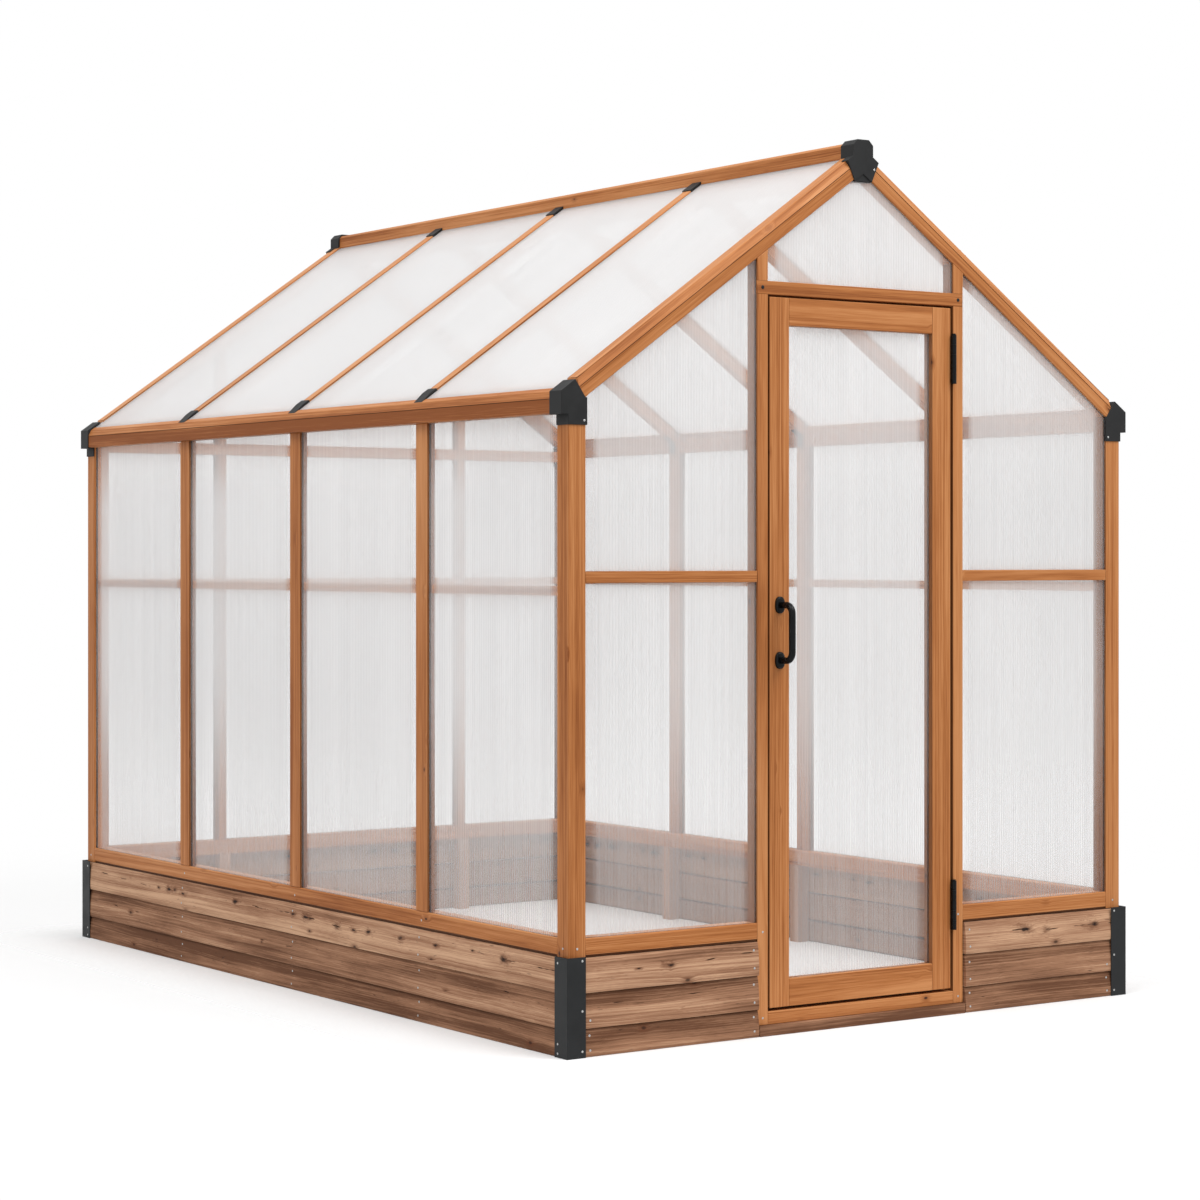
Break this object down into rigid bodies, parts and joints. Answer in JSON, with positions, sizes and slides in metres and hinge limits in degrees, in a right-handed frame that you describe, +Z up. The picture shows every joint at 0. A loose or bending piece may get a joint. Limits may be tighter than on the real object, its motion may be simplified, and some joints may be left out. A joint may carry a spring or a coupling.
{
  "type": "wooden greenhouse",
  "caption": "Gable greenhouse: a timber frame glazed with translucent twin-wall sheet on a low plank base, with black moulded connectors and a hinged front door with a pull handle.",
  "frame": {"origin": "on the ground, at the middle of the overall bounding box seen from above", "axes": "+Z up; the door wall faces -Y and the ridge runs along Y; +X is to the right seen from in front of the door"},
  "size_m": [1.876, 2.814, 2.2838],
  "materials": {
    "frame_wood": "satin",
    "base_wood": "matte",
    "twin_wall": "satin",
    "moulded_black": "matte",
    "metal_black": "satin",
    "handle_black": "gloss"
  },
  "bodies": {
    "frame": {"base_battens": "base_wood", "base_corner_angles": "metal_black", "base_planks_back": "base_wood", "base_planks_front_left": "base_wood", "base_planks_front_right": "base_wood", "base_planks_left": "base_wood", "base_planks_right": "base_wood", "corner_post_back_left": "frame_wood", "corner_post_back_right": "frame_wood", "corner_post_front_left": "frame_wood", "corner_post_front_right": "frame_wood", "door_header": "frame_wood", "door_post_left": "frame_wood", "door_post_right": "frame_wood", "door_sill": "frame_wood", "door_stops": "frame_wood", "eave_beam_left": "frame_wood", "eave_beam_right": "frame_wood", "eave_connectors": "moulded_black", "gable_rafter_back_left": "frame_wood", "gable_rafter_back_right": "frame_wood", "gable_rafter_front_left": "frame_wood", "gable_rafter_front_right": "frame_wood", "glazing_back": "twin_wall", "glazing_front": "twin_wall", "glazing_left": "twin_wall", "glazing_right": "twin_wall", "hinge_leaves_frame": "metal_black", "hinge_pins": "metal_black", "mid_rails_back": "frame_wood", "mid_rails_front": "frame_wood", "mid_rails_left": "frame_wood", "mid_rails_right": "frame_wood", "rafter_brackets": "metal_black", "rafter_eave_sockets": "moulded_black", "rafter_ridge_sockets": "moulded_black", "rafters_left": "frame_wood", "rafters_right": "frame_wood", "ridge_beam": "frame_wood", "ridge_connectors": "moulded_black", "roof_glazing_left": "twin_wall", "roof_glazing_right": "twin_wall", "sill_back": "frame_wood", "sill_front_left": "frame_wood", "sill_front_right": "frame_wood", "sill_left": "frame_wood", "sill_right": "frame_wood", "studs_back": "frame_wood", "studs_left": "frame_wood", "studs_right": "frame_wood", "threshold_board": "base_wood", "tie_beam_back": "frame_wood"},
    "door": {"door_glazing": "twin_wall", "door_handle": "handle_black", "door_rail_bottom": "frame_wood", "door_rail_top": "frame_wood", "door_stile_left": "frame_wood", "door_stile_right": "frame_wood", "hinge_leaves_door": "metal_black"}
  },
  "joints": [
    {"name": "door_swing", "type": "hinge", "parent": "frame", "child": "door", "pos_m": [0.3045, -1.3538, 0.965], "axis": [0, 0, 1], "range_deg": [0, 170]}
  ]
}
